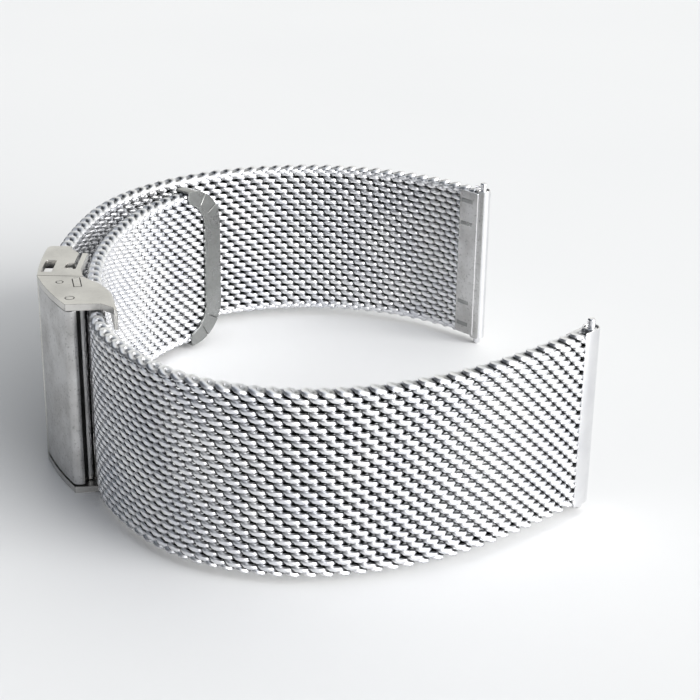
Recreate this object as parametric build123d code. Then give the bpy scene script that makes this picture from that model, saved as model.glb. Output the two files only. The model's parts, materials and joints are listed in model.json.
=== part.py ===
from build123d import *

import os
from math import atan2, cos, degrees, radians, sin

# A woven mesh watch band, closed at its clasp and standing on one edge, without its watch.
# The long strap runs from the watch through a slider, and its tail lies inside the short strap.
# The short strap ends in a housing whose hook holds the slider's bar. All lengths are in mm.
# Plan directions: X to the right, Y away from the long strap, Z along the band's width.

# Woven mesh: spirals side by side, each one a column across the band
BAND_WIDTH = 22.0
MESH_THICKNESS = 1.9
COIL_PITCH = 0.9
HINGE_CLEARANCE = 0.08
RIB_FLAT = 0.45
RIB_DEPTH = 0.48
RIB_OVERLAP = 0.03
SEGMENT_COILS = 11
FRONT_SEGMENTS = 7
TAIL_SEGMENTS = 4
SHORT_SEGMENTS = 8

# Curves of the worn band: share of the strap's length, and turn over it in degrees
FRONT_CURVE_SHARES = (
    (0.10, 21.0), (0.10, 9.2), (0.15, 28.7), (0.20, 32.7), (0.25, 25.3), (0.20, 8.8)
)
TAIL_CURVE_SHARES = ((0.65, 30.5), (0.20, 20.0), (0.15, 0.0))
SHORT_CURVE_SHARES = ((0.20, 12.5), (0.25, 42.0), (0.30, 43.0), (0.25, 36.5))

# Slider on the long strap: side plates with lips, cross bars and the locking lever
CLASP_LEAN = 14.0
STRAP_LIFT = 0.6
SIDE_SHEET = 0.8
EDGE_CLEARANCE = 0.2
SLIDER_LENGTH = 10.3
SLIDER_RISE = 6.6
NOSE_RISE = 4.1
NOSE_REACH = 0.6
ARCH_BULGE = 0.3
LIP_START = 1.8
LIP_LENGTH = 4.6
LIP_HEIGHT = 2.6
LIP_SHEET = 0.45
LIP_GAP = 0.8
LIP_BEND = 0.6
WAIST_FROM_END = 4.1
WAIST_RISE = -0.4
PARTING_WIDTH = 5.4
MOUTH_ALONG = 0.1
MOUTH_RISE = 0.1
PRESS_CLEARANCE = 0.01

LEVER_SHEET = 0.6
LEVER_INSET = 0.1
LEVER_SIDE_GAP = 0.15
LEVER_NOSE_RADIUS = 0.95
LEVER_NOSE_SHARE = 0.07
LEVER_PIN_ALONG = 2.5
LEVER_PIN_RISE = 3.4
LEVER_PIN_RADIUS = 0.55
KNUCKLE_WALL = 0.5
CAM_RADIUS = 0.65
CAM_GAP = 0.12
RUNNING_CLEARANCE = 0.05

HOOK_BAR_FROM_END = 2.6
HOOK_BAR_RISE = 4.15
HOOK_BAR_RADIUS = 0.45
BASE_BAR_FROM_END = 3.05
BASE_BAR_RISE = 2.2
BASE_BAR_WIDTH = 2.9
BASE_BAR_THICKNESS = 0.95

# Housing on the short strap, in line with the slider
PARTING_GAP = 0.1
HOUSING_LENGTH = 10.1
HOUSING_WALL = 0.45
HOUSING_BULGE = 0.22
HOUSING_CORNER = 0.8
POCKET_CLEARANCE = 0.05
STRAP_TO_CORNER = 1.05
HINGE_OUTSIDE = 0.3
FINGER_OFFSET = 2.65
FINGER_START = 2.4
FINGER_WIDTH = 0.65
FINGER_LENGTH = 5.4
FINGER_SLIT = 0.45
NOTCH_START = 2.6
NOTCH_LENGTH = 1.8
NOTCH_WIDTH = 0.9
SLOT_LENGTH = 3.9
SLOT_WIDTH = 1.3
SLOT_START = 1.3
SLOT_OFFSET = 0.2
SLOT_CORNER = 0.2

HOOK_SHEET = 0.35
HOOK_CLEARANCE = 0.06
HOOK_LIP = 0.95
HOOK_BLOCK_START = 1.2
HOOK_BLOCK_LENGTH = 2.7
HOOK_SIDE_GAP = 0.3
ROOT_CLEARANCE = 0.1
EAR_LENGTH = 2.1
EAR_CLEARANCE = 0.1
EAR_DEPTH = 0.4

# End fittings: a tube for the spring bar, with a flat tab on the strap's inner face
TUBE_RADIUS = 1.0
TUBE_BORE_RADIUS = 0.8
TUBE_SEAT = 0.35
TAB_LENGTH = 3.2
TAB_SHEET = 0.45
TAB_PROUD = 0.25
TAB_INSET = 0.4
TAB_CORNER = 0.5

# Spring bars: a barrel with a sprung tip at each end
BARREL_RADIUS = 0.75
BARREL_BORE_RADIUS = 0.5
BARREL_INSET = 1.8
BARREL_CRIMP = 0.2
TIP_RADIUS = 0.45
TIP_REACH = 1.0
TIP_CHAMFER = 0.15
TIP_STEM = 2.2
TIP_STEM_RADIUS = 0.28
TIP_COLLAR_RADIUS = 0.7
TIP_COLLAR_LENGTH = 0.3
TIP_COLLAR_INSET = 0.15

# Folded metal cap round the tail's tip
CAP_SHEET = 0.3
CAP_RIM = 1.3
CAP_CORNER = 5.2
CAP_CLEARANCE = 0.02
CAP_TABS = 3
CAP_NICK = 0.12

OVERRUN = 1.0

SEGMENT_LENGTH = SEGMENT_COILS * COIL_PITCH
FRONT_LENGTH = FRONT_SEGMENTS * SEGMENT_LENGTH
TAIL_LENGTH = TAIL_SEGMENTS * SEGMENT_LENGTH
SHORT_LENGTH = SHORT_SEGMENTS * SEGMENT_LENGTH
HALF_MESH = MESH_THICKNESS / 2
PLATE_INNER = BAND_WIDTH / 2 + EDGE_CLEARANCE
PLATE_OUTER = PLATE_INNER + SIDE_SHEET
WAIST_ALONG = SLIDER_LENGTH - WAIST_FROM_END
HOOK_BAR_ALONG = SLIDER_LENGTH - HOOK_BAR_FROM_END
BASE_BAR_ALONG = SLIDER_LENGTH - BASE_BAR_FROM_END

# The long strap enters the slider lifted, and meets the slider's own line at the tail's first hinge
STRAP_TILT = degrees(atan2(STRAP_LIFT, SEGMENT_LENGTH))

# The short strap's coils that lie in the housing, from its mouth to the hook's block
HOUSED_LENGTH = (
    HOUSING_LENGTH + HINGE_OUTSIDE - HALF_MESH - HOOK_BLOCK_START - HOOK_BLOCK_LENGTH - ROOT_CLEARANCE
)
HOUSED_COILS = int(HOUSED_LENGTH / COIL_PITCH) + 1


class Route:
    """A line of tangent arcs in plan, followed from a start point and heading in degrees."""

    def __init__(self, start, heading, stretches):
        self.places = [(0.0, start[0], start[1], heading)]
        self.turns = []
        for length, turn in stretches:
            station, x, y, angle = self.places[-1]
            x, y = arc_end(x, y, angle, length, turn)
            self.turns.append(turn / length)
            self.places.append((station + length, x, y, angle + turn))

    def at(self, station):
        """The place at a distance along the line, with its local X pointing onwards."""
        if station < 0 or station > self.places[-1][0]:
            base, x, y, angle = self.places[0 if station < 0 else -1]
            x, y = arc_end(x, y, angle, station - base, 0)
            return Location((x, y, 0), (0, 0, angle))
        index = max(i for i, place in enumerate(self.places[:-1]) if place[0] <= station)
        base, x, y, angle = self.places[index]
        turn = self.turns[index] * (station - base)
        x, y = arc_end(x, y, angle, station - base, turn)
        return Location((x, y, 0), (0, 0, angle + turn))


def arc_end(x, y, angle, length, turn):
    """Where an arc of this length and turn ends, both angles in degrees."""
    if turn == 0:
        return x + length * cos(radians(angle)), y + length * sin(radians(angle))
    radius = length / radians(turn)
    first, last = radians(angle), radians(angle + turn)
    return x + radius * (sin(last) - sin(first)), y - radius * (cos(last) - cos(first))


def stretches(length, shares, side):
    """A strap's curve as arcs: side is 1 where it turns left and -1 where it turns right."""
    return [(length * share, side * turn) for share, turn in shares]


# The slider's own place: local X along the long strap towards its tail, local Y outwards
SLIDER = Location((0, 0, 0), (0, 0, 90 + CLASP_LEAN))
CORNER = (SLIDER * Location((SLIDER_LENGTH, SLIDER_RISE, 0))).position

# The housing's place: on the short strap's middle line at the parting line, local Y outwards
HOUSING = Location((CORNER.X + STRAP_TO_CORNER, CORNER.Y, 0), (0, 0, 90))

MOUTH = (SLIDER * Location((0, STRAP_LIFT, 0))).position
STRAP_HEADING = 90 + CLASP_LEAN - STRAP_TILT
FRONT = Route(
    (MOUTH.X, MOUTH.Y), STRAP_HEADING - 180, stretches(FRONT_LENGTH, FRONT_CURVE_SHARES, 1)
)
LONG = Route(
    (MOUTH.X, MOUTH.Y),
    STRAP_HEADING,
    [(SEGMENT_LENGTH, 0)] + stretches(TAIL_LENGTH, TAIL_CURVE_SHARES, -1),
)
SHORT_START = (HOUSING * Location((HOUSING_LENGTH + HINGE_OUTSIDE, 0, 0))).position
SHORT = Route((SHORT_START.X, SHORT_START.Y), 90, stretches(SHORT_LENGTH, SHORT_CURVE_SHARES, -1))


def coil_rib():
    """One coil seen along the band's width: flat on both faces, with a groove at each side."""
    root = COIL_PITCH / 2 + RIB_OVERLAP
    groove = HALF_MESH - RIB_DEPTH
    right = [(RIB_FLAT / 2, -HALF_MESH), (root, -groove), (root, groove), (RIB_FLAT / 2, HALF_MESH)]
    left = [(-x, -y) for x, y in right]
    return make_face(Polyline(right + left, close=True))


def mesh_run(route, first, last, socket=True):
    """Coils first to last of a strap as one solid, hinged round its last coil, which is round.

    A socket is a hollow round the coil before the first; without it the first coil is round too.
    """
    rib = coil_rib()
    outline = Sketch() + [route.at(coil * COIL_PITCH) * rib for coil in range(first, last)]
    outline += route.at(last * COIL_PITCH) * Circle(HALF_MESH)
    if socket:
        outline -= route.at((first - 1) * COIL_PITCH) * Circle(HALF_MESH + HINGE_CLEARANCE)
    else:
        outline += route.at(first * COIL_PITCH) * Circle(HALF_MESH)
    return extrude(outline, BAND_WIDTH / 2, both=True)


def mesh_segments(route, count, start=0):
    """The strap's segments in order from the clasp."""
    firsts = [start + number * SEGMENT_COILS for number in range(count)]
    return [mesh_run(route, first + 1, first + SEGMENT_COILS) for first in firsts]


def slab(low_x, high_x, low_y, high_y, height):
    """A block between two stations and two offsets, centred on the band's middle plane."""
    middle = Location(((low_x + high_x) / 2, (low_y + high_y) / 2, 0))
    return middle * Box(high_x - low_x, high_y - low_y, height)


def slider_arch():
    """The slider's outer edge in its own place, from the nose to the parting line."""
    chord = Line((NOSE_REACH, NOSE_RISE), (SLIDER_LENGTH, SLIDER_RISE))
    return SagittaArc(chord @ 0, chord @ 1, ARCH_BULGE)


def arch_point(share, depth):
    """A place under the arch, this share of the way along it and this deep."""
    arch = slider_arch()
    along = arch % share
    return arch @ share + Vector(along.Y, -along.X) * depth


def slider_outline():
    """The side plate's outline seen along the band's width, without its holes."""
    arch = slider_arch()
    lip_face = STRAP_LIFT - HALF_MESH - LIP_GAP - LIP_SHEET
    lean = radians(CLASP_LEAN)
    rest = Polyline(
        arch @ 1,
        arch @ 1 - Vector(sin(lean), cos(lean)) * PARTING_WIDTH,
        (WAIST_ALONG, WAIST_RISE),
        (LIP_LENGTH - LIP_START, lip_face),
        (-LIP_START, lip_face),
        (MOUTH_ALONG, MOUTH_RISE),
        arch @ 0,
    )
    return make_face(arch + rest)


def side_plate(side):
    """A slider side plate with its rolled lip; side is 1 for the upper edge and -1 for the lower."""
    lip_high = STRAP_LIFT - HALF_MESH - LIP_GAP
    lip_low = lip_high - LIP_SHEET
    through = 2 * PLATE_OUTER + OVERRUN
    plate = extrude(Pos(0, 0, PLATE_INNER) * slider_outline(), SIDE_SHEET)
    lip_place = Pos(LIP_LENGTH / 2 - LIP_START, (lip_low + lip_high) / 2, PLATE_OUTER - LIP_HEIGHT / 2)
    plate += lip_place * Box(LIP_LENGTH, LIP_SHEET, LIP_HEIGHT)
    bend = plate.edges().filter_by(Axis.X).group_by(Axis.Y)[0].sort_by(Axis.Z)[-1]
    plate = fillet(bend, LIP_BEND)
    lever_hole = Cylinder(LEVER_PIN_RADIUS + PRESS_CLEARANCE, through)
    plate -= Pos(LEVER_PIN_ALONG, LEVER_PIN_RISE) * lever_hole
    hook_hole = Cylinder(HOOK_BAR_RADIUS + PRESS_CLEARANCE, through)
    plate -= Pos(HOOK_BAR_ALONG, HOOK_BAR_RISE) * hook_hole
    tenon_hole = Box(
        BASE_BAR_WIDTH + 2 * PRESS_CLEARANCE, BASE_BAR_THICKNESS + 2 * PRESS_CLEARANCE, through
    )
    plate -= Pos(BASE_BAR_ALONG, BASE_BAR_RISE) * tenon_hole
    if side < 0:
        plate = mirror(plate, Plane.XY)
    return SLIDER * plate


def base_bar():
    """The flat bar that ties the side plates and backs the long strap."""
    bar = Box(BASE_BAR_WIDTH, BASE_BAR_THICKNESS, 2 * PLATE_OUTER)
    return SLIDER * Pos(BASE_BAR_ALONG, BASE_BAR_RISE) * bar


def hook_bar():
    """The round bar that the hook holds."""
    return SLIDER * Pos(HOOK_BAR_ALONG, HOOK_BAR_RISE) * Cylinder(HOOK_BAR_RADIUS, 2 * PLATE_OUTER)


def lever_pin():
    """The pin that the locking lever turns on."""
    return SLIDER * Pos(LEVER_PIN_ALONG, LEVER_PIN_RISE) * Cylinder(LEVER_PIN_RADIUS, 2 * PLATE_OUTER)


def locking_lever():
    """The arched lever: a rounded nose, a knuckle on the pin and a cam over the strap."""
    depth = LEVER_INSET + LEVER_SHEET / 2
    middle_share = (LEVER_NOSE_SHARE + 1) / 2
    arch = ThreePointArc(
        arch_point(LEVER_NOSE_SHARE, depth), arch_point(middle_share, depth), arch_point(1, depth)
    )
    plate = trace(arch, LEVER_SHEET)
    pin = Pos(LEVER_PIN_ALONG, LEVER_PIN_RISE)
    nose_centre = arch_point(LEVER_NOSE_SHARE, LEVER_INSET + LEVER_NOSE_RADIUS)
    nose = Pos(nose_centre) * Circle(LEVER_NOSE_RADIUS)
    knuckle = pin * Circle(LEVER_PIN_RADIUS + RUNNING_CLEARANCE + KNUCKLE_WALL)
    root = make_hull((nose + knuckle).edges())
    strap_rise = STRAP_LIFT * (1 - LEVER_PIN_ALONG / SEGMENT_LENGTH) + HALF_MESH
    cam_drop = LEVER_PIN_RISE - strap_rise - CAM_GAP - CAM_RADIUS
    cam_slot = SlotCenterPoint((0, -cam_drop / 2), (0, -cam_drop), 2 * CAM_RADIUS)
    section = (plate + root) & offset(slider_outline(), -LEVER_INSET, kind=Kind.INTERSECTION)
    section += pin * cam_slot
    section -= pin * Circle(LEVER_PIN_RADIUS + RUNNING_CLEARANCE)
    return SLIDER * extrude(section, PLATE_INNER - LEVER_SIDE_GAP, both=True)


def housing_outline():
    """The housing's side outline, from the parting line to the short strap's mouth."""
    start, end = PARTING_GAP, HOUSING_LENGTH
    top = HALF_MESH + POCKET_CLEARANCE + HOUSING_WALL
    arch = SagittaArc((start, STRAP_TO_CORNER), (end, top), HOUSING_BULGE)
    finger_low = -(FINGER_OFFSET + FINGER_SLIT + FINGER_WIDTH)
    finger_end = FINGER_START + FINGER_LENGTH
    rest = Polyline(
        arch @ 1,
        (end, -top),
        (end - HOUSING_CORNER, -top),
        (finger_end, -FINGER_OFFSET),
        (finger_end, finger_low),
        (FINGER_START, finger_low),
        (start, STRAP_TO_CORNER - PARTING_WIDTH),
        arch @ 0,
    )
    outline = make_face(arch + rest)
    corners = outline.vertices().group_by(Axis.X)[-1]
    return fillet(corners.sort_by(Axis.Y)[-1], HOUSING_CORNER)


def housing_side(side):
    """A housing side plate with its slot, its notch and the slit that frees its spring finger."""
    slot_place = Pos(SLOT_START + SLOT_LENGTH / 2, SLOT_OFFSET)
    slot = slot_place * RectangleRounded(SLOT_LENGTH, SLOT_WIDTH, SLOT_CORNER)
    slit_length = FINGER_LENGTH + OVERRUN
    slit_place = Pos(FINGER_START + slit_length / 2, -(FINGER_OFFSET + FINGER_SLIT / 2))
    slit = slit_place * Rectangle(slit_length, FINGER_SLIT)
    notch_place = Pos(NOTCH_START + NOTCH_LENGTH / 2, -(FINGER_OFFSET - NOTCH_WIDTH / 2))
    notch = notch_place * Rectangle(NOTCH_LENGTH, NOTCH_WIDTH)
    plate = extrude(Pos(0, 0, PLATE_INNER) * (housing_outline() - slot - slit - notch), SIDE_SHEET)
    return plate if side > 0 else mirror(plate, Plane.XY)


def hook_housing():
    """The folded housing: two side plates, an arched outer wall and a straight inner wall."""
    pocket = HALF_MESH + POCKET_CLEARANCE
    edge_length = HOOK_BLOCK_START - HOOK_CLEARANCE
    beyond = HOUSING_LENGTH + OVERRUN
    wall = housing_outline() & Pos(beyond / 2, pocket + beyond / 2) * Rectangle(beyond, beyond)
    edge_place = Pos(edge_length / 2, STRAP_TO_CORNER - HOUSING_WALL + beyond / 2)
    wall += housing_outline() & edge_place * Rectangle(edge_length, beyond)
    walls = extrude(wall, PLATE_INNER, both=True)
    inner_start = HOOK_BLOCK_START + HOOK_BLOCK_LENGTH
    inner_end = HOUSING_LENGTH - HOUSING_CORNER
    walls += slab(inner_start, inner_end, -(pocket + HOUSING_WALL), -pocket, 2 * PLATE_INNER)
    return HOUSING * (housing_side(1) + housing_side(-1) + walls)


def hook_plate():
    """The hook: a block held by ears in the housing's sides, and a tongue round the hook bar."""
    bar = HOUSING.inverse() * SLIDER * Location((HOOK_BAR_ALONG, HOOK_BAR_RISE, 0))
    bar_x, bar_y = bar.position.X, bar.position.Y
    pocket = HALF_MESH + POCKET_CLEARANCE
    tongue_low = bar_y + HOOK_BAR_RADIUS + HOOK_CLEARANCE
    tongue_high = tongue_low + HOOK_SHEET
    lip_high = bar_x - HOOK_BAR_RADIUS - HOOK_CLEARANCE
    lip_low = lip_high - HOOK_SHEET
    block_end = HOOK_BLOCK_START + HOOK_BLOCK_LENGTH
    height = 2 * (PLATE_INNER - HOOK_SIDE_GAP)
    hook = slab(lip_low, block_end, tongue_low, tongue_high, height)
    hook += slab(lip_low, lip_high, tongue_low - HOOK_LIP, tongue_high, height)
    bend = hook.edges().filter_by(Axis.Z).sort_by_distance((lip_low, tongue_high, 0))[0]
    hook = fillet(bend, HOOK_SHEET)
    hook += slab(HOOK_BLOCK_START, block_end, min(tongue_low, -pocket), pocket, height)
    ear_height = 2 * (PLATE_OUTER - EAR_DEPTH)
    ear_start = SLOT_START + EAR_CLEARANCE
    ear_half = SLOT_WIDTH / 2 - EAR_CLEARANCE
    hook += slab(ear_start, ear_start + EAR_LENGTH, SLOT_OFFSET - ear_half, SLOT_OFFSET + ear_half, ear_height)
    tab_start = NOTCH_START + EAR_CLEARANCE
    tab_low = -(FINGER_OFFSET - EAR_CLEARANCE)
    hook += slab(tab_start, block_end, tab_low, min(tongue_low, -pocket), height)
    hook += slab(tab_start, block_end, tab_low, tab_low + NOTCH_WIDTH - 2 * EAR_CLEARANCE, ear_height)
    return HOUSING * hook


def end_place(route, length):
    """The spring bar's axis at the end of a strap."""
    return route.at(length + HALF_MESH + TUBE_RADIUS - TUBE_SEAT)


def end_tube(place, inner):
    """The tube with its tab; inner is 1 where the loop's inside lies to the left."""
    height = BAND_WIDTH
    tube = Cylinder(TUBE_RADIUS, height)
    high = HALF_MESH + TAB_PROUD
    tab_height = height - 2 * TAB_INSET
    tab = Pos(-TAB_LENGTH / 2, inner * (high - TAB_SHEET / 2)) * Box(TAB_LENGTH, TAB_SHEET, tab_height)
    corners = tab.edges().filter_by(Axis.Y).group_by(Axis.X)[0]
    tab = fillet(corners, TAB_CORNER)
    solid = tube + tab - Cylinder(TUBE_BORE_RADIUS, height + OVERRUN)
    return place * solid


def bar_barrel(place):
    """The spring bar's barrel, with its ends crimped in."""
    length = BAND_WIDTH - 2 * BARREL_INSET
    barrel = Cylinder(BARREL_RADIUS, length)
    rims = barrel.edges().filter_by(GeomType.CIRCLE)
    barrel = chamfer(rims, BARREL_CRIMP)
    return place * (barrel - Cylinder(BARREL_BORE_RADIUS, length + OVERRUN))


def bar_tip(place, side):
    """A sprung tip: a stem in the barrel, a collar and the pin that enters the watch's lug."""
    base = BAND_WIDTH / 2
    end = base + TIP_REACH
    start = base - BARREL_INSET - TIP_STEM
    collar_middle = base - TIP_COLLAR_INSET - TIP_COLLAR_LENGTH / 2
    tip = Pos(0, 0, (collar_middle + end) / 2) * Cylinder(TIP_RADIUS, end - collar_middle)
    rim = tip.edges().filter_by(GeomType.CIRCLE).sort_by(Axis.Z)[-1]
    tip = chamfer(rim, TIP_CHAMFER)
    tip += Pos(0, 0, (start + collar_middle) / 2) * Cylinder(TIP_STEM_RADIUS, collar_middle - start)
    tip += Pos(0, 0, collar_middle) * Cylinder(TIP_COLLAR_RADIUS, TIP_COLLAR_LENGTH)
    if side < 0:
        tip = mirror(tip, Plane.XY)
    return place * tip


def tip_blank(grow, thickness):
    """The tail tip's rounded outline as a slab, grown on every side, with its end at local X 0."""
    length = 2 * CAP_CORNER
    width = BAND_WIDTH + 2 * grow
    half = Pos(-length / 2 + grow / 2) * Rectangle(length + grow, width)
    ends = half.vertices().group_by(Axis.X)[-1]
    half = fillet(ends, CAP_CORNER + grow)
    upright = Location((0, 0, 0), (90, 0, 0))
    return upright * extrude(half, thickness / 2, both=True)


def tail_cap(tip):
    """The cap: a channel folded round the tip's rounded end, nicked into tabs at its corners."""
    sheet = CAP_SHEET + CAP_CLEARANCE
    outside = MESH_THICKNESS + 2 * sheet
    cap = tip_blank(sheet, outside)
    cap -= tip_blank(CAP_CLEARANCE, MESH_THICKNESS + 2 * CAP_CLEARANCE)
    cap -= Pos(-CAP_RIM) * tip_blank(-CAP_RIM, outside + OVERRUN)
    cap &= Pos(-CAP_CORNER / 2) * Box(CAP_CORNER + 2 * sheet, outside + OVERRUN, BAND_WIDTH + OVERRUN)
    centre = BAND_WIDTH / 2 - CAP_CORNER
    for side in (-1, 1):
        for number in range(1, CAP_TABS):
            lean = 90 * number / CAP_TABS
            nick = Pos(-CAP_CORNER, 0, side * centre) * Rot(0, -side * lean, 0) * Pos(CAP_CORNER)
            cap -= nick * Box(2 * CAP_RIM + sheet, outside + OVERRUN, CAP_NICK) - nick * Box(
                2 * CAP_RIM + OVERRUN, MESH_THICKNESS + sheet, OVERRUN
            )
    return tip * cap


def build():
    """Every piece by its node name, in plan coordinates about the long strap's slider."""
    parts = {}
    parts["strap_in_clasp"] = mesh_run(LONG, 0, SEGMENT_COILS, socket=False)
    front = mesh_segments(FRONT, FRONT_SEGMENTS)
    tail = mesh_segments(LONG, TAIL_SEGMENTS, SEGMENT_COILS)
    short = mesh_segments(SHORT, SHORT_SEGMENTS)
    short_root = mesh_run(SHORT, 1 - HOUSED_COILS, 0, socket=False)

    front_end = end_place(FRONT, FRONT_LENGTH)
    short_end = end_place(SHORT, SHORT_LENGTH)
    parts["front_end_tube"] = end_tube(front_end, 1)
    parts["short_end_tube"] = end_tube(short_end, -1)
    front[-1] -= parts["front_end_tube"] + front_end * Cylinder(TUBE_RADIUS, BAND_WIDTH)
    short[-1] -= parts["short_end_tube"] + short_end * Cylinder(TUBE_RADIUS, BAND_WIDTH)

    tip = LONG.at(SEGMENT_LENGTH + TAIL_LENGTH) * Location((HALF_MESH, 0, 0))
    tail[-1] &= tip * tip_blank(0, 2 * SEGMENT_LENGTH) + tip * Pos(-SEGMENT_LENGTH) * Box(
        2 * (SEGMENT_LENGTH - CAP_CORNER), 2 * SEGMENT_LENGTH, BAND_WIDTH + OVERRUN
    )
    parts["tail_end_cap"] = tail_cap(tip)

    parts.update({f"front_mesh_{n}": piece for n, piece in enumerate(front, 1)})
    parts.update({f"tail_mesh_{n}": piece for n, piece in enumerate(tail, 1)})
    parts["short_mesh_root"] = short_root
    parts.update({f"short_mesh_{n}": piece for n, piece in enumerate(short, 1)})

    for strap, place in (("front", front_end), ("short", short_end)):
        parts[f"{strap}_bar_barrel"] = bar_barrel(place)
        parts[f"{strap}_bar_upper_tip"] = bar_tip(place, 1)
        parts[f"{strap}_bar_lower_tip"] = bar_tip(place, -1)

    parts["upper_side_plate"] = side_plate(1)
    parts["lower_side_plate"] = side_plate(-1)
    parts["base_bar"] = base_bar()
    parts["hook_bar"] = hook_bar()
    parts["lever_pin"] = lever_pin()
    parts["locking_lever"] = locking_lever()
    parts["hook_housing"] = hook_housing()
    parts["hook_plate"] = hook_plate()
    return parts


def to_origin(parts):
    """The move that puts the origin under the middle of the standing band."""
    box = Compound([piece for piece in parts.values()]).bounding_box()
    return Pos(-(box.min.X + box.max.X) / 2, -(box.min.Y + box.max.Y) / 2, -box.min.Z)


def main():
    parts = build()
    move = to_origin(parts)
    os.makedirs("parts", exist_ok=True)
    for name, piece in parts.items():
        export_step(move * piece, f"parts/{name}.step")
    print(len(parts), "nodes written")


if __name__ == "__main__":
    main()
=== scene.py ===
"""A woven mesh watch band, closed at its clasp and standing on one edge on a pale table.

The straps are wound here wire by wire: each spiral of the mesh is a flattened coil that passes
through its neighbours, and its wire is painted dark between the spirals as shade. The clasp,
the end tubes and the tail's cap keep the shapes of the CAD model and get softened edges and
steel finishes with wear marks; the near black steel on the clasp's rounded edges is painted
shade and painted dark reflection, and that on the lever's side towards the strap and the darker
steel on the tubes' inner sides are painted shade. Everything is in metres.
"""

import json
import logging
import math
from dataclasses import dataclass, field
from enum import Enum

import bpy
import numpy as np
from mathutils import Matrix, Vector

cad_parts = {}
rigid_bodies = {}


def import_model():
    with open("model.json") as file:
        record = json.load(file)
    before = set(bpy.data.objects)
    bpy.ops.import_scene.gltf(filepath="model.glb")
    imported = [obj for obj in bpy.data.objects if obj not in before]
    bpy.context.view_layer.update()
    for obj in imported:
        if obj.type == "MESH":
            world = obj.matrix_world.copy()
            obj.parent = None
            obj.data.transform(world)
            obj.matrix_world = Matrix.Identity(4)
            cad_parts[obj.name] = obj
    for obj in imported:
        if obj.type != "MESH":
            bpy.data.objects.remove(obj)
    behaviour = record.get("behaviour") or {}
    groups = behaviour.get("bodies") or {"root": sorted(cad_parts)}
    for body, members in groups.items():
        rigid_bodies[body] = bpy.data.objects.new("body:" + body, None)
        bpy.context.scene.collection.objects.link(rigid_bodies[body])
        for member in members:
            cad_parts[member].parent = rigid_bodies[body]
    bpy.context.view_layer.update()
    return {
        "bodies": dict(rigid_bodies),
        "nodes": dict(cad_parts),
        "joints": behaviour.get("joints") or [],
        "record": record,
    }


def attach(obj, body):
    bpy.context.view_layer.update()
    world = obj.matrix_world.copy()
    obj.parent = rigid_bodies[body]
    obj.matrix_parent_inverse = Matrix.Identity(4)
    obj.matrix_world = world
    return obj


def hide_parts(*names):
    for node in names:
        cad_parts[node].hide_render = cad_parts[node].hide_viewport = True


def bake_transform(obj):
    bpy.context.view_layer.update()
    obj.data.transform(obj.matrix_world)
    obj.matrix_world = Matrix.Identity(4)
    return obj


MM = 0.001
REPORT = logging.getLogger("mesh_band")
# under this many radians an arc counts as straight
NO_BEND = 1e-9
# how near to a cutting plane a point counts as on it
CUT_THRESHOLD = 0.0001 * MM


class Side(Enum):
    """Which way a strap's curve turns as it is followed from the clasp."""

    LEFT = 1
    RIGHT = -1


class Row(Enum):
    """The two kinds of spiral, which lie half a pitch apart across the band."""

    EDGE = 0
    INNER = 1


# Hand tools


def only(*pieces: bpy.types.Object) -> None:
    """Selects these pieces and nothing else, with the first one active.

    Args:
        pieces: The objects to select.
    """
    bpy.ops.object.select_all(action="DESELECT")
    for piece in pieces:
        piece.select_set(True)
    bpy.context.view_layer.objects.active = pieces[0]


def apply_modifier(piece: bpy.types.Object, kind: str, **values: object) -> None:
    """Adds a modifier with these values and applies it.

    Args:
        piece: The object that is changed.
        kind: Blender's name of the modifier.
        values: The modifier's settings by name.
    """
    only(piece)
    bpy.ops.object.modifier_add(type=kind)
    modifier = piece.modifiers[-1]
    for name, value in values.items():
        setattr(modifier, name, value)
    bpy.ops.object.modifier_apply(modifier=modifier.name)


def coordinates(piece: bpy.types.Object) -> np.ndarray:
    """The piece's vertices as an array of rows.

    Args:
        piece: A mesh object.

    Returns:
        One row of x, y and z for each vertex.
    """
    flat = np.empty(3 * len(piece.data.vertices), np.float64)
    piece.data.vertices.foreach_get("co", flat)
    return flat.reshape(-1, 3)


def eased(value: np.ndarray) -> np.ndarray:
    """A value cut to the range from 0 to 1, leaving and reaching its ends gently."""
    share = np.clip(value, 0, 1)
    return share * share * (3 - 2 * share)


def dress(piece: bpy.types.Object, material: bpy.types.Material) -> None:
    """Gives the whole piece one material.

    Args:
        piece: A mesh object.
        material: Its finish.
    """
    piece.data.materials.clear()
    piece.data.materials.append(material)
    piece.data.polygons.foreach_set("material_index", [0] * len(piece.data.polygons))
    piece.data.update()


def report(piece: bpy.types.Object) -> None:
    """Logs a finished piece and its count of faces."""
    REPORT.info("%s: %d faces", piece.name, len(piece.data.polygons))


# Finishes


def add_node(tree: bpy.types.NodeTree, kind: str, **values: object) -> bpy.types.Node:
    """Adds a node to a tree and sets it.

    Args:
        tree: The node tree.
        kind: The node's Blender type.
        values: Settings of the node, and its inputs with underscores for spaces.

    Returns:
        The new node.
    """
    node = tree.nodes.new(kind)
    for name, value in values.items():
        socket = node.inputs.get(name.replace("_", " "))
        if socket is not None:
            socket.default_value = value
        else:
            setattr(node, name, value)
    return node


def set_limits(node: bpy.types.Node, side: str, limits: tuple[float, float]) -> None:
    """Sets the From or the To limits of a Map Range node."""
    node.inputs[f"{side} Min"].default_value, node.inputs[f"{side} Max"].default_value = limits


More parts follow.
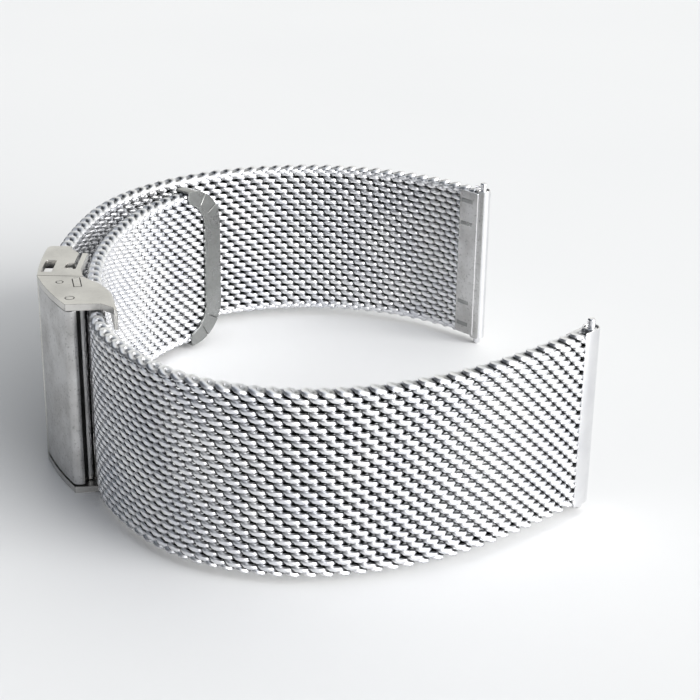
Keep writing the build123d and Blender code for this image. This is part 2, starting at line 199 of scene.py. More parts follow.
class Shader:
    """A material's node tree, with short calls for the nodes that the finishes use."""

    def __init__(self, name: str, metallic: float = 1.0) -> None:
        """Makes a material with one surface shader.

        Args:
            name: The material's name.
            metallic: 1 for steel and 0 for anything else.
        """
        self.material = bpy.data.materials.new(name)
        self.material.use_nodes = True
        self.tree = self.material.node_tree
        self.surface = self.tree.nodes["Principled BSDF"]
        self.surface.inputs["Metallic"].default_value = metallic

    def link(self, source: bpy.types.NodeSocket, target: bpy.types.NodeSocket) -> None:
        """Links two sockets."""
        self.tree.links.new(source, target)

    def feed(self, name: str, source: bpy.types.NodeSocket) -> None:
        """Links an output to one of the surface's inputs."""
        self.link(source, self.surface.inputs[name])

    def place(self, scale: tuple[float, float, float] = (1.0, 1.0, 1.0)) -> bpy.types.NodeSocket:
        """The piece's own coordinates, stretched.

        Args:
            scale: The stretch along each axis.

        Returns:
            The mapped vector.
        """
        where = add_node(self.tree, "ShaderNodeTexCoord")
        mapping = add_node(self.tree, "ShaderNodeMapping")
        mapping.inputs["Scale"].default_value = scale
        self.link(where.outputs["Object"], mapping.inputs["Vector"])
        return mapping.outputs["Vector"]

    def group(self, tree: bpy.types.NodeTree, **values: float) -> bpy.types.Node:
        """Places a shared node group with its own values.

        Args:
            tree: The shared group.
            values: Its inputs by name.

        Returns:
            The group node.
        """
        node = self.tree.nodes.new("ShaderNodeGroup")
        node.node_tree = tree
        for name, value in values.items():
            node.inputs[name].default_value = value
        return node

    def mix(
        self,
        share: bpy.types.NodeSocket,
        first: tuple | bpy.types.NodeSocket,
        second: tuple,
        blend: str = "MIX",
    ) -> bpy.types.NodeSocket:
        """Mixes two colours.

        Args:
            share: The output that says how much the second colour counts.
            first: The first colour, or the output that gives it.
            second: The second colour.
            blend: Blender's name for the way of mixing.

        Returns:
            The mixed colour.
        """
        node = add_node(self.tree, "ShaderNodeMix", data_type="RGBA", blend_type=blend)
        self.link(share, node.inputs["Factor"])
        if isinstance(first, bpy.types.NodeSocket):
            self.link(first, node.inputs["A"])
        else:
            node.inputs["A"].default_value = first
        node.inputs["B"].default_value = second
        return node.outputs["Result"]

    def between(
        self, share: bpy.types.NodeSocket, limits: tuple[float, float]
    ) -> bpy.types.NodeSocket:
        """A value that runs from one limit to the other.

        Args:
            share: The output that says how far it has run, from 0 to 1.
            limits: The value at 0 and at 1.

        Returns:
            The value.
        """
        node = add_node(self.tree, "ShaderNodeMapRange")
        set_limits(node, "To", limits)
        self.link(share, node.inputs["Value"])
        return node.outputs["Result"]


@dataclass(frozen=True)
class HandlingMarks:
    """The marks that handling leaves on all the steel: broad smudges and fine specks."""

    smudge_limits: tuple = (0.38, 0.66)
    smudge_detail: float = 4.0
    smudge_roughness: float = 0.6
    speck_limits: tuple = (0.58, 0.72)
    speck_detail: float = 2.0
    speck_roughness: float = 0.5

    def build(self) -> bpy.types.NodeTree:
        """Builds the node group that the finishes share.

        Returns:
            A group with a Size and a Speck input, and Smudge and Specks outputs from 0 to 1.
        """
        tree = bpy.data.node_groups.new("Handling marks", "ShaderNodeTree")
        for name in ("Size", "Speck"):
            tree.interface.new_socket(name, in_out="INPUT", socket_type="NodeSocketFloat")
        for name in ("Smudge", "Specks"):
            tree.interface.new_socket(name, in_out="OUTPUT", socket_type="NodeSocketFloat")
        start = tree.nodes.new("NodeGroupInput")
        end = tree.nodes.new("NodeGroupOutput")
        where = tree.nodes.new("ShaderNodeTexCoord")
        broad = add_node(
            tree, "ShaderNodeTexNoise", Detail=self.smudge_detail, Roughness=self.smudge_roughness
        )
        fine = add_node(
            tree, "ShaderNodeTexNoise", Detail=self.speck_detail, Roughness=self.speck_roughness
        )
        for noise, size, mark, limits in (
            (broad, "Size", "Smudge", self.smudge_limits),
            (fine, "Speck", "Specks", self.speck_limits),
        ):
            tree.links.new(where.outputs["Object"], noise.inputs["Vector"])
            tree.links.new(start.outputs[size], noise.inputs["Scale"])
            cut = add_node(tree, "ShaderNodeMapRange")
            set_limits(cut, "From", limits)
            tree.links.new(noise.outputs["Fac"], cut.inputs["Value"])
            tree.links.new(cut.outputs["Result"], end.inputs[mark])
        return tree


@dataclass(frozen=True)
class WovenWire:
    """The mesh's wire: bright on the flats left by grinding, painted dark between the spirals as
    shade.
    """

    name: str = "woven steel wire"
    flat_colour: tuple = (0.84, 0.84, 0.85, 1)
    # near black painted shade in the recesses between the spirals
    painted_shade_colour: tuple = (0.06, 0.061, 0.064, 1)
    smudge_tint: tuple = (0.86, 0.87, 0.9, 1)
    flat_roughness: float = 0.38
    recess_roughness: float = 0.45
    smudge_scale: float = 160.0
    speck_scale: float = 2500.0

    def build(self, marks: bpy.types.NodeTree) -> bpy.types.Material:
        """Builds the material from the wire's own attribute.

        Args:
            marks: The shared group of handling marks.

        Returns:
            The material.
        """
        shader = Shader(self.name)
        ground_and_shade_node = add_node(shader.tree, "ShaderNodeAttribute", attribute_name="ground_and_shade")
        ground_and_shade = ground_and_shade_node.outputs["Fac"]
        handled = shader.group(marks, Size=self.smudge_scale, Speck=self.speck_scale)
        # painted shade where the wire lies deep between the spirals, bright colour on the flats
        colour = shader.mix(ground_and_shade, self.painted_shade_colour, self.flat_colour)
        tinted = shader.mix(handled.outputs["Smudge"], colour, self.smudge_tint, "MULTIPLY")
        shader.feed("Base Color", tinted)
        roughness = (self.recess_roughness, self.flat_roughness)
        shader.feed("Roughness", shader.between(ground_and_shade, roughness))
        return shader.material


@dataclass(frozen=True)
class WorkedSteel:
    """A sheet or turned piece of steel: its grain, marks and shine."""

    name: str
    colour: tuple
    worn_colour: tuple
    roughness: float
    worn_roughness: float
    speckle: float = 0.0
    grain_height: float = 0.05
    grain_depth: float = 0.1 * MM
    grain_stretch: tuple = (400.0, 400.0, 40.0)
    grain_scale: float = 12.0
    grain_detail: float = 3.0
    smudge_scale: float = 260.0
    speck_scale: float = 3200.0

    def build(self, marks: bpy.types.NodeTree) -> bpy.types.Material:
        """Builds the material.

        Args:
            marks: The shared group of handling marks.

        Returns:
            The material.
        """
        shader = Shader(self.name)
        handled = shader.group(marks, Size=self.smudge_scale, Speck=self.speck_scale)
        smudge = handled.outputs["Smudge"]
        colour = shader.mix(smudge, self.colour, self.worn_colour)
        dark = 1 - self.speckle
        pitted = shader.mix(handled.outputs["Specks"], colour, (dark, dark, dark, 1), "MULTIPLY")
        shader.feed("Base Color", pitted)
        roughness = (self.roughness, self.worn_roughness)
        shader.feed("Roughness", shader.between(smudge, roughness))
        grain = add_node(
            shader.tree, "ShaderNodeTexNoise", Scale=self.grain_scale, Detail=self.grain_detail
        )
        shader.link(shader.place(self.grain_stretch), grain.inputs["Vector"])
        bump = add_node(
            shader.tree, "ShaderNodeBump", Strength=self.grain_height, Distance=self.grain_depth
        )
        shader.link(grain.outputs["Fac"], bump.inputs["Height"])
        shader.feed("Normal", bump.outputs["Normal"])
        return shader.material


@dataclass(frozen=True)
class TableTop:
    """The pale, faintly mottled table."""

    name: str = "pale table"
    colour: tuple = (0.715, 0.713, 0.716, 1)
    shade_colour: tuple = (0.67, 0.672, 0.68, 1)
    roughness: float = 0.6
    cloud_scale: float = 9.0
    cloud_detail: float = 2.0

    def build(self) -> bpy.types.Material:
        """Builds the material.

        Returns:
            The material.
        """
        shader = Shader(self.name, metallic=0.0)
        cloud = add_node(
            shader.tree, "ShaderNodeTexNoise", Scale=self.cloud_scale, Detail=self.cloud_detail
        )
        shader.link(shader.place(), cloud.inputs["Vector"])
        shader.feed("Base Color", shader.mix(cloud.outputs["Fac"], self.colour, self.shade_colour))
        shader.surface.inputs["Roughness"].default_value = self.roughness
        return shader.material


@dataclass
class Finishes:
    """Every material of the band, built once."""

    wire: bpy.types.Material = field(init=False)
    satin: bpy.types.Material = field(init=False)
    plate: bpy.types.Material = field(init=False)
    bright: bpy.types.Material = field(init=False)
    rim: bpy.types.Material = field(init=False)
    edge: bpy.types.Material = field(init=False)

    def __post_init__(self) -> None:
        """Builds the materials."""
        marks = HandlingMarks().build()
        self.wire = WovenWire().build(marks)
        self.satin = WorkedSteel(
            "satin lever steel",
            colour=(0.58, 0.58, 0.58, 1),
            worn_colour=(0.44, 0.435, 0.43, 1),
            roughness=0.34,
            worn_roughness=0.46,
            speckle=0.35,
            grain_height=0.25,
        ).build(marks)
        self.plate = WorkedSteel(
            "smooth plate steel",
            colour=(0.62, 0.61, 0.585, 1),
            worn_colour=(0.53, 0.52, 0.50, 1),
            roughness=0.3,
            worn_roughness=0.38,
            speckle=0.08,
            grain_height=0.08,
        ).build(marks)
        self.bright = WorkedSteel(
            "polished bar steel",
            colour=(0.80, 0.80, 0.81, 1),
            worn_colour=(0.72, 0.72, 0.74, 1),
            roughness=0.14,
            worn_roughness=0.22,
            grain_height=0.04,
        ).build(marks)
        self.rim = WorkedSteel(
            "folded rim steel",
            colour=(0.34, 0.345, 0.34, 1),
            worn_colour=(0.24, 0.245, 0.24, 1),
            roughness=0.24,
            worn_roughness=0.36,
            speckle=0.1,
            grain_height=0.08,
        ).build(marks)
        # near black steel: painted shade and painted dark reflection on the clasp's rounded edges,
        # painted shade on the lever's faces towards the strap
        self.edge = WorkedSteel(
            "painted shade steel",
            colour=(0.06, 0.058, 0.056, 1),
            worn_colour=(0.035, 0.034, 0.033, 1),
            roughness=0.4,
            worn_roughness=0.5,
        ).build(marks)


# The woven straps


@dataclass
class Route:
    """A strap's line of tangent arcs in plan, in metres, followed from the clasp."""

    start: tuple[float, float]
    heading: float
    stretches: tuple[tuple[float, float], ...]
    outward_left: bool

    @property
    def onward(self) -> int:
        """1 where a frame's X points along the route, or -1 where it points back."""
        return 1 if self.outward_left else -1

    def at(self, station: float) -> Matrix:
        """The place at a distance along the line.

        Args:
            station: The distance from the start, which may lie before it or after the end.

        Returns:
            A frame whose X runs along the strap and whose Y points out of the loop.
        """
        x, y = self.start
        angle = math.radians(self.heading)
        left = station
        for length, turn in self.stretches:
            part = min(left, length)
            bend = math.radians(turn) * part / length if part > 0 else 0.0
            x, y = arc_end(x, y, angle, part, bend)
            angle += bend
            left -= part
            if left <= 0:
                break
        x, y = arc_end(x, y, angle, left, 0.0)
        face = angle if self.outward_left else angle + math.pi
        return Matrix.Translation((x, y, 0.0)) @ Matrix.Rotation(face, 4, "Z")

    def point(self, station: float, height: float) -> tuple[float, float, float]:
        """The point on the line at this station and height."""
        place = self.at(station).translation
        return place.x, place.y, height


def arc_end(x: float, y: float, angle: float, length: float, bend: float) -> tuple[float, float]:
    """Where an arc ends.

    Args:
        x: The arc's start.
        y: The arc's start.
        angle: The heading there, in radians.
        length: The arc's length.
        bend: The turn over its length, in radians.

    Returns:
        The end point.
    """
    if abs(bend) < NO_BEND:
        return x + length * math.cos(angle), y + length * math.sin(angle)
    radius = length / bend
    return (
        x + radius * (math.sin(angle + bend) - math.sin(angle)),
        y - radius * (math.cos(angle + bend) - math.cos(angle)),
    )


@dataclass
class Weave:
    """The mesh's wire and how it is wound into spirals.

    Attributes:
        width: The band's width, along the spirals.
        thickness: The band's thickness after grinding both faces.
        coil_pitch: From one spiral to the next along the strap.
        wire_radius: The wire's radius.
        turn_radius: The radius on which the wire is wound.
        edge_inset: How far the wire's middle stays inside the band's edge.
        turns_across: The turns of a spiral from edge to edge.
        spare_turns: Turns wound beyond those and cut off again.
        levelling: How much of their rise the turns lose on the two faces.
        stretch: How much wider than deep a turn is.
        loop_tilt: How far one side of an end loop lies inside the other.
        loop_tuck: How much smaller the end loops are wound.
        loop_fill: How much further their inner side goes in, which fills the loop's eye.
        edge_surplus: Turns past the end at which an edge row is cut off.
        inner_surplus: The same for a row that ends inside the edge.
        ground_and_shade_from: The share of the half thickness at which the painted shade gives
            way.
        ground_and_shade_over: The share over which it gives way wholly to the bright flats.
        rim_reach: How far in from the band's edge the loops' outsides stay bright, in wire radii.
        steps: The sections of one turn.
        sides: The sides of a section.
        crease: The angle past which an edge isn't smooth, in degrees.
        middle: The height of the band's middle line.
    """

    width: float = 22.0 * MM
    thickness: float = 1.9 * MM
    coil_pitch: float = 0.9 * MM
    wire_radius: float = 0.33 * MM
    turn_radius: float = 0.73 * MM
    edge_inset: float = 0.22 * MM
    turns_across: int = 13
    spare_turns: int = 3
    levelling: float = 0.5
    stretch: float = 1.12
    loop_tilt: float = 0.5 * MM
    loop_tuck: float = 0.15 * MM
    loop_fill: float = 0.2 * MM
    edge_surplus: float = 0.95
    inner_surplus: float = 0.55
    ground_and_shade_from: float = 0.45
    ground_and_shade_over: float = 0.25
    rim_reach: float = 1.6
    steps: int = 12
    sides: int = 8
    crease: float = 45.0
    middle: float = 12.0 * MM

    @property
    def turn_pitch(self) -> float:
        """The wire's rise in one turn."""
        return (self.width - 2 * self.edge_inset) / self.turns_across

    @property
    def turns_wound(self) -> int:
        """The turns wound at first, an even count so that one starts in the middle."""
        turns = self.turns_across + self.spare_turns
        return turns + turns % 2

    def helix(self) -> bpy.types.Object:
        """Winds a round wire into a plain helix about the Z axis.

        Returns:
            The helix, from the origin down.
        """
        bpy.ops.object.select_all(action="DESELECT")
        bpy.ops.mesh.primitive_circle_add(
            vertices=self.sides,
            radius=self.wire_radius,
            fill_type="NOTHING",
            location=(self.turn_radius, 0, 0),
            rotation=(math.radians(90), 0, 0),
        )
        wire = bpy.context.active_object
        bpy.ops.object.transform_apply(location=True, rotation=True, scale=True)
        apply_modifier(
            wire,
            "SCREW",
            steps=self.steps,
            render_steps=self.steps,
            iterations=self.turns_wound,
            screw_offset=-self.turn_pitch,
            use_smooth_shade=True,
        )
        return wire

    def wind(self, row: Row, half_width: float) -> bpy.types.Object:
        """Winds one flattened spiral about the Z axis, its ends turned level.

        Args:
            row: Whether its end loops form the band's edge or lie inside it.
            half_width: Half the band's width where the spiral lies.

        Returns:
            The spiral, centred at the origin.
        """
        wire = self.helix()
        points = coordinates(wire)
        pitch = self.turn_pitch
        at_edge = row is Row.EDGE
        limit = half_width - self.edge_inset - (0.0 if at_edge else pitch / 4)
        shift = -pitch / 4 if at_edge else pitch / 4

        # where each vertex lies round the turn, and where the wire's middle is there
        theta = np.arctan2(points[:, 1], points[:, 0])
        rise = points[:, 2] + pitch * self.turns_wound / 2
        turn = np.round(-rise / pitch - theta / math.tau)
        along = -pitch * (turn + theta / math.tau)
        centre = along + shift

        # the faces' turns are levelled, and the end loops pressed inside the edge
        level = pitch / math.tau * self.levelling / 2
        tilt = self.loop_tilt if at_edge else 0.0
        top = limit - tilt * (1 - np.cos(theta)) / 2
        bottom = tilt * (1 + np.cos(theta)) / 2 - limit
        pressed = np.clip(centre - level * np.sin(2 * theta), bottom, top)
        points[:, 2] = pressed + rise - along

        outside = (np.hypot(points[:, 0], points[:, 1]) - self.turn_radius) / self.wire_radius
        self.mark_ground_and_shade(wire, points, outside, half_width)

        # the end loops are wound smaller, and grinding takes off what stands past a face or the
        # edge
        end = eased((np.abs(centre) - limit) / pitch * 2 + 1) if at_edge else 0.0
        tuck = self.loop_tuck + self.loop_fill * np.clip(-outside, 0, 1)
        size = 1 - tuck * end / np.hypot(points[:, 0], points[:, 1])
        points[:, 0] *= self.stretch * size
        points[:, 1] *= size
        half = self.thickness / 2
        points[:, 1] = np.clip(points[:, 1], -half, half)
        points[:, 2] = np.clip(points[:, 2], -half_width, half_width)

        wire.data.vertices.foreach_set("co", points.ravel())
        wire.data.update()
        spare = self.edge_surplus if at_edge else self.inner_surplus
        self.close_ends(wire, np.abs(centre) > limit + spare * pitch)
        only(wire)
        bpy.ops.object.shade_smooth_by_angle(angle=math.radians(self.crease))
        return wire

    def mark_ground_and_shade(
        self, wire: bpy.types.Object, points: np.ndarray, outside: np.ndarray, half_width: float
    ) -> None:
        """Stores how bright each vertex is, for the wire's finish, with painted shade deep in the
        band.

        Args:
            wire: The spiral.
            points: Its vertices before they are ground.
            outside: How far each lies outside the turn's radius, in wire radii.
            half_width: Half the band's width where the spiral lies.
        """
        # 0 deep inside the band, where the painted shade goes, 1 on the flats and the edge loops'
        # outsides
        depth = np.abs(points[:, 1]) / (self.thickness / 2)
        ground_and_shade = np.clip((depth - self.ground_and_shade_from) / self.ground_and_shade_over, 0, 1)
        rim = (np.abs(points[:, 2]) - half_width) / self.wire_radius + self.rim_reach
        loops = np.clip(rim, 0, 1) * np.clip(2 + 2 * outside, 0, 1)
        attribute = wire.data.attributes.new("ground_and_shade", "FLOAT", "POINT")
        attribute.data.foreach_set("value", np.maximum(ground_and_shade, loops).astype(np.float32))

    def close_ends(self, wire: bpy.types.Object, surplus: np.ndarray) -> None:
        """Cuts the surplus turns off and closes the wire's two ends.

        Args:
            wire: The wound spiral.
            surplus: True for each vertex past the last loop.
        """
        only(wire)
        bpy.ops.object.mode_set(mode="EDIT")
        bpy.ops.mesh.select_mode(type="VERT")
        bpy.ops.mesh.select_all(action="DESELECT")
        bpy.ops.object.mode_set(mode="OBJECT")
        wire.data.vertices.foreach_set("select", surplus)
        bpy.ops.object.mode_set(mode="EDIT")
        bpy.ops.mesh.delete(type="VERT")
        bpy.ops.mesh.select_all(action="SELECT")
        bpy.ops.mesh.fill_holes(sides=self.sides)
        bpy.ops.mesh.select_all(action="SELECT")
        bpy.ops.mesh.normals_make_consistent(inside=False)
        bpy.ops.object.mode_set(mode="OBJECT")


@dataclass
class Coil:
    """One spiral's place: its route, its number and its half width."""

    route: Route
    number: int
    half_width: float


@dataclass
class Loom:
    """Winds the spirals once each and lays their copies along the straps."""

    weave: Weave
    wound: dict[tuple[Row, float], bpy.types.Object] = field(default_factory=dict)

    def spiral(self, number: int, half_width: float) -> bpy.types.Object:
        """The wound spiral for this place, made on first use.

        Args:
            number: The coil's number along the strap.
            half_width: Half the band's width there.

        Returns:
            The spiral that is copied.
        """
        row = Row(number % 2)
        key = (row, round(half_width / MM, 3))
        if key not in self.wound:
            self.wound[key] = self.weave.wind(row, half_width)
        return self.wound[key]

    def lay(self, name: str, coils: list[Coil]) -> bpy.types.Object:
        """Lays copies of the spirals side by side as one piece of mesh.

        Args:
            name: The piece's name.
            coils: The places of its spirals.

        Returns:
            The piece of mesh, placed in its vertices.
        """
        copies = []
        for coil in coils:
            spiral = self.spiral(coil.number, coil.half_width)
            copy = bpy.data.objects.new(name, spiral.data.copy())
            bpy.context.scene.collection.objects.link(copy)
            place = coil.route.at(coil.number * self.weave.coil_pitch)
            copy.data.transform(Matrix.Translation((0, 0, self.weave.middle)) @ place)
            copies.append(copy)
        only(*copies)
        bpy.ops.object.join()
        piece = bpy.context.active_object
        piece.name = name
        return piece

    def clear(self) -> None:
        """Removes the spirals that were only there to be copied."""
        for spiral in self.wound.values():
            bpy.data.objects.remove(spiral)
        self.wound.clear()


@dataclass
class Straps:
    """The two straps of woven mesh, laid as pieces of spirals along their lines.

    Attributes:
        loom: What winds and lays the spirals.
        finishes: The band's materials.
        origin: The slider's mouth in plan, on the slider's own line.
        segment: The coils in one link.
        front_segments: The links from the slider to the watch.
        tail_segments: The links of the free tail.
        short_segments: The links of the short strap.
        housed: The coils of the short strap that the housing holds.
        lean: The slider's turn in plan, in degrees.
        lift: How far the long strap lies outside that line at the mouth.
        front_shares: The arcs from the slider to the watch: share of length, degrees.
        tail_shares: The arcs of the free tail.
        short_shares: The arcs of the short strap.
        parting: The clasp's outer corner where it parts, along the line and out from it.
        strap_to_corner: The short strap's line from that corner.
        housing_to_hinge: The short strap's first hinge beyond that corner.
        tip_corner: The radius of the tail's rounded corners.
        tube_cut: How far past the last coil the wires end in the tube.
    """

    loom: Loom
    finishes: Finishes
    origin: tuple[float, float] = (-23.354 * MM, -18.4679 * MM)
    segment: int = 11
    front_segments: int = 7
    tail_segments: int = 4
    short_segments: int = 8
    housed: int = 7
    lean: float = 14.0
    lift: float = 0.6 * MM
    front_shares: tuple = (
        (0.10, 21.0), (0.10, 9.2), (0.15, 28.7), (0.20, 32.7), (0.25, 25.3), (0.20, 8.8)
    )
    tail_shares: tuple = ((0.65, 30.5), (0.20, 20.0), (0.15, 0.0))
    short_shares: tuple = ((0.20, 12.5), (0.25, 42.0), (0.30, 43.0), (0.25, 36.5))
    parting: tuple[float, float] = (10.3 * MM, 6.6 * MM)
    strap_to_corner: float = 1.05 * MM
    housing_to_hinge: float = 10.4 * MM
    tip_corner: float = 5.2 * MM
    tube_cut: float = 0.55 * MM
    link: float = field(init=False)
    front: Route = field(init=False)
    long: Route = field(init=False)
    short: Route = field(init=False)

    def __post_init__(self) -> None:
        """Works out the lines that the straps follow."""
        lean = math.radians(self.lean)
        link = self.segment * self.loom.weave.coil_pitch
        along, rise = self.parting
        corner = (
            self.origin[0] - along * math.sin(lean) - rise * math.cos(lean),
            self.origin[1] + along * math.cos(lean) - rise * math.sin(lean),
        )
        mouth = (
            self.origin[0] - self.lift * math.cos(lean),
            self.origin[1] - self.lift * math.sin(lean),
        )
        heading = 90 + self.lean - math.degrees(math.atan2(self.lift, link))
        self.link = link
        self.front = Route(
            mouth,
            heading - 180,
            self.curve(self.front_segments, self.front_shares, Side.LEFT),
            outward_left=False,
        )
        tail = self.curve(self.tail_segments, self.tail_shares, Side.RIGHT)
        self.long = Route(mouth, heading, ((link, 0.0),) + tail, outward_left=True)
        self.short = Route(
            (corner[0] + self.strap_to_corner, corner[1] + self.housing_to_hinge),
            90.0,
            self.curve(self.short_segments, self.short_shares, Side.RIGHT),
            outward_left=True,
        )

    def curve(self, segments: int, shares: tuple, side: Side) -> tuple:
        """A strap's curve as arcs.

        Args:
            segments: How many links long it is.
            shares: The share of the length and the turn of each arc.
            side: Which way it turns.

        Returns:
            The length and the turn of each arc.
        """
        length = segments * self.segment * self.loom.weave.coil_pitch
        return tuple((length * share, side.value * turn) for share, turn in shares)

    def half_width(self, route: Route, number: int) -> float:
        """Half the band's width at a coil, less at the tail's rounded tip.

        Args:
            route: The line of the strap.
            number: The coil's number along it.

        Returns:
            Half the width there.
        """
        half = self.loom.weave.width / 2
        if route is not self.long:
            return half
        tip = self.link * (1 + self.tail_segments) + self.loom.weave.thickness / 2
        from_tip = tip - number * self.loom.weave.coil_pitch
        if from_tip >= self.tip_corner:
            return half
        inner = self.tip_corner - max(from_tip, 0.0)
        return half - self.tip_corner + math.sqrt(self.tip_corner**2 - inner**2)

    def coils(self, route: Route, first: int, last: int) -> list[Coil]:
        """The places of coils first to last on a route."""
        return [Coil(route, n, self.half_width(route, n)) for n in range(first, last + 1)]

    def bend(
        self, piece: bpy.types.Object, bodies: tuple[str, str], start: tuple, end: tuple
    ) -> None:
        """Bakes a piece of mesh's placement into its vertices.

        Args:
            piece: The piece of mesh.
            bodies: The body before the hinge and the one after it; not used.
            start: Where the bend starts; not used.
            end: Where it ends; not used.
        """
        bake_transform(piece)

    def finish(self, piece: bpy.types.Object, node: str | None) -> None:
        """Dresses a piece of mesh and lets it stand for its CAD node.

        Args:
            piece: The piece of mesh.
            node: The CAD node that it replaces, or None for a piece of its own.
        """
        dress(piece, self.finishes.wire)
        if node:
            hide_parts(node)
        report(piece)

    @property
    def half(self) -> int:
        """The coils on either side of the hinge in one piece of mesh."""
        return self.segment // 2

    def spot(self, route: Route, coil: float) -> tuple[float, float, float]:
        """The point in the middle of the mesh at a coil's number, or between two coils."""
        return route.point(coil * self.loom.weave.coil_pitch, self.loom.weave.middle)

    def run(self, strap: str, route: Route, segments: int, first_hinge: int) -> None:
        """Lays one strap from its second piece of mesh to its end.

        Args:
            strap: The strap's name in its bodies and nodes.
            route: The line that it follows.
            segments: How many links it has.
            first_hinge: The coil number of the strap's first hinge.
        """
        half = self.half
        for number in range(1, segments):
            hinge = first_hinge + number * self.segment
            piece = self.loom.lay(
                f"{strap}_weave_{number}", self.coils(route, hinge - half, hinge + half)
            )
            self.bend(
                piece,
                (f"{strap}_{number}", f"{strap}_{number + 1}"),
                self.spot(route, hinge - half - 0.5),
                self.spot(route, hinge + half + 0.5),
            )
            self.finish(piece, f"{strap}_mesh_{number}")
        hinge = first_hinge + segments * self.segment
        piece = self.loom.lay(
            f"{strap}_weave_{segments}", self.coils(route, hinge - half, hinge)
        )
        if strap != "tail":
            end = hinge * self.loom.weave.coil_pitch + self.tube_cut
            self.cut_at_tube(piece, route.at(end), route.onward)
        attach(piece, f"{strap}_{segments}")
        self.finish(piece, f"{strap}_mesh_{segments}")

    def cut_at_tube(self, piece: bpy.types.Object, place: Matrix, onward: int) -> None:
        """Cuts the last spiral's wires off where they are welded into the tube.

        Args:
            piece: The strap's last piece of mesh.
            place: The cut's place on the route.
            onward: 1 where the place's X points to the tube, or -1.
        """
        only(piece)
        bpy.ops.object.mode_set(mode="EDIT")
        bpy.ops.mesh.select_all(action="SELECT")
        bpy.ops.mesh.bisect(
            plane_co=place.translation,
            plane_no=place.to_3x3() @ Vector((onward, 0, 0)),
            use_fill=True,
            clear_outer=True,
            threshold=CUT_THRESHOLD,
        )
        bpy.ops.object.mode_set(mode="OBJECT")

    def build(self) -> None:
        """Lays both straps, and the pieces that start in the clasp."""
        half = self.half
        first = self.loom.lay(
            "channel_weave", self.coils(self.long, 0, half) + self.coils(self.front, 1, half)
        )
        self.bend(
            first,
            ("channel_strap", "front_1"),
            self.spot(self.long, 1),
            self.spot(self.front, half + 0.5),
        )
        self.finish(first, "strap_in_clasp")
        self.run("front", self.front, self.front_segments, 0)

        second = self.loom.lay(
            "tail_weave_0", self.coils(self.long, half + 1, self.segment + half)
        )
        self.bend(
            second,
            ("channel_strap", "tail_1"),
            self.spot(self.long, self.segment - 1),
            self.spot(self.long, self.segment + half + 0.5),
        )
        self.finish(second, None)
        self.run("tail", self.long, self.tail_segments, self.segment)

        root = self.loom.lay("short_weave_0", self.coils(self.short, 1 - self.housed, half))
        self.bend(
            root,
            ("hook_half", "short_1"),
            self.spot(self.short, -1),
            self.spot(self.short, half + 0.5),
        )
        self.finish(root, "short_mesh_root")
        self.run("short", self.short, self.short_segments, 0)
        self.loom.clear()


# Clasp and fittings


